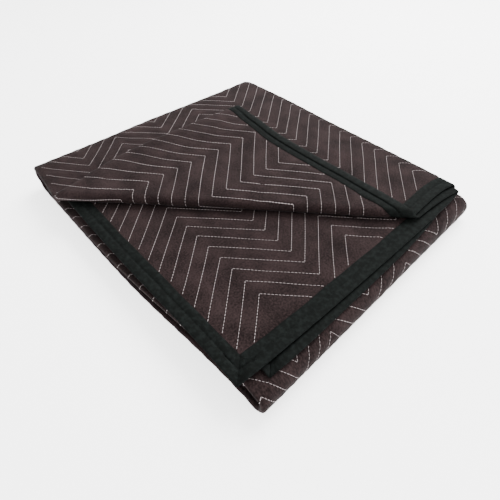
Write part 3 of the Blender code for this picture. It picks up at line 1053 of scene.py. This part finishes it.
class MOVINGPAD_OT_bindings(bpy.types.Operator):
    """Builds the four bindings, folded over the cloth's edges"""

    bl_idname = "movingpad.bindings"
    bl_label = "Bindings"

    def execute(self, context):
        look = context.scene.moving_pad
        tape = woven_polyester_tape(look)
        for side, node in (("first", "binding_first_end"), ("fourth", "binding_last_end"),
                           ("open", "binding_open_side"), ("inner", "binding_inner_side")):
            piece = new_piece("tape_" + node[8:], tape_bmesh(side), tape)
            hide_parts(node)
        return {"FINISHED"}


class MOVINGPAD_OT_quilting(bpy.types.Operator):
    """Lays the quilting's stitches along the zigzag lines"""

    bl_idname = "movingpad.quilting"
    bl_label = "Quilting Stitches"

    def execute(self, context):
        look = context.scene.moving_pad
        new_piece("quilting_stitches", thread_bmesh(look), spun_polyester_thread(look))
        return {"FINISHED"}


class MOVINGPAD_OT_cloth(bpy.types.Operator):
    """Builds the quilted cloth, folded, and hides the model's cloth"""

    bl_idname = "movingpad.cloth"
    bl_label = "Quilted Cloth"

    def execute(self, context):
        look = context.scene.moving_pad
        piece = new_piece("folded_quilted_cloth", cloth_bmesh(look), quilted_cotton_polyester(look))
        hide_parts("quilted_cloth")
        return {"FINISHED"}


class MOVINGPAD_OT_stage(bpy.types.Operator):
    """Builds the floor, the lights and the camera"""

    bl_idname = "movingpad.stage"
    bl_label = "Stage"

    def execute(self, context):
        look = context.scene.moving_pad
        bm = bmesh.new()
        bmesh.ops.create_grid(bm, x_segments=1, y_segments=1, size=FLOOR_HALF)
        mesh = bpy.data.meshes.new("floor")
        bm.to_mesh(mesh)
        bm.free()
        mesh.materials.append(backlit_matt_acrylic(look))
        floor = bpy.data.objects.new("floor", mesh)
        context.scene.collection.objects.link(floor)
        floor.location.z = FLOOR_PLACE
        world = bpy.data.worlds.new("pale_studio")
        world.use_nodes = True
        background = world.node_tree.nodes["Background"]
        background.inputs["Color"].default_value = (1.0, 1.0, 1.0, 1.0)
        background.inputs["Strength"].default_value = WORLD_STRENGTH
        context.scene.world = world
        for name, place, aim, size, power in LIGHTS:
            light = bpy.data.lights.new(name, "AREA")
            light.shape = "SQUARE"
            light.size = size
            light.energy = power
            lamp = bpy.data.objects.new(name, light)
            context.scene.collection.objects.link(lamp)
            lamp.location = place
            direction = np.array(aim) - np.array(place)
            lamp.rotation_mode = "QUATERNION"
            lamp.rotation_quaternion = mathutils.Vector(direction).to_track_quat("-Z", "Y")
        camera = bpy.data.cameras.new("photograph")
        camera.sensor_width = SENSOR_WIDTH
        camera.lens = CAMERA_LENS
        eye = bpy.data.objects.new("photograph", camera)
        context.scene.collection.objects.link(eye)
        eye.location = CAMERA_PLACE
        eye.rotation_euler = CAMERA_TURN
        context.scene.camera = eye
        return {"FINISHED"}


class MOVINGPAD_PT_panel(bpy.types.Panel):
    """Lists the pad's pieces in the sidebar"""

    bl_idname = "MOVINGPAD_PT_panel"
    bl_label = "Moving Pad"
    bl_space_type = "VIEW_3D"
    bl_region_type = "UI"
    bl_category = "Moving Pad"

    def draw(self, context):
        look = context.scene.moving_pad
        for name in MovingPadLook.__annotations__:
            self.layout.prop(look, name)
        for operator in OPERATORS:
            self.layout.operator(operator.bl_idname)


OPERATORS = (MOVINGPAD_OT_bindings, MOVINGPAD_OT_quilting, MOVINGPAD_OT_cloth, MOVINGPAD_OT_stage)
CLASSES = (MovingPadLook, *OPERATORS, MOVINGPAD_PT_panel)


def register():
    for cls in CLASSES:
        bpy.utils.register_class(cls)
    bpy.types.Scene.moving_pad = PointerProperty(type=MovingPadLook)


def unregister():
    del bpy.types.Scene.moving_pad
    for cls in reversed(CLASSES):
        bpy.utils.unregister_class(cls)


def main():
    register()
    bpy.ops.movingpad.bindings()
    bpy.ops.movingpad.quilting()
    bpy.ops.movingpad.cloth()
    bpy.ops.movingpad.stage()


if __name__ == "__main__":
    main()
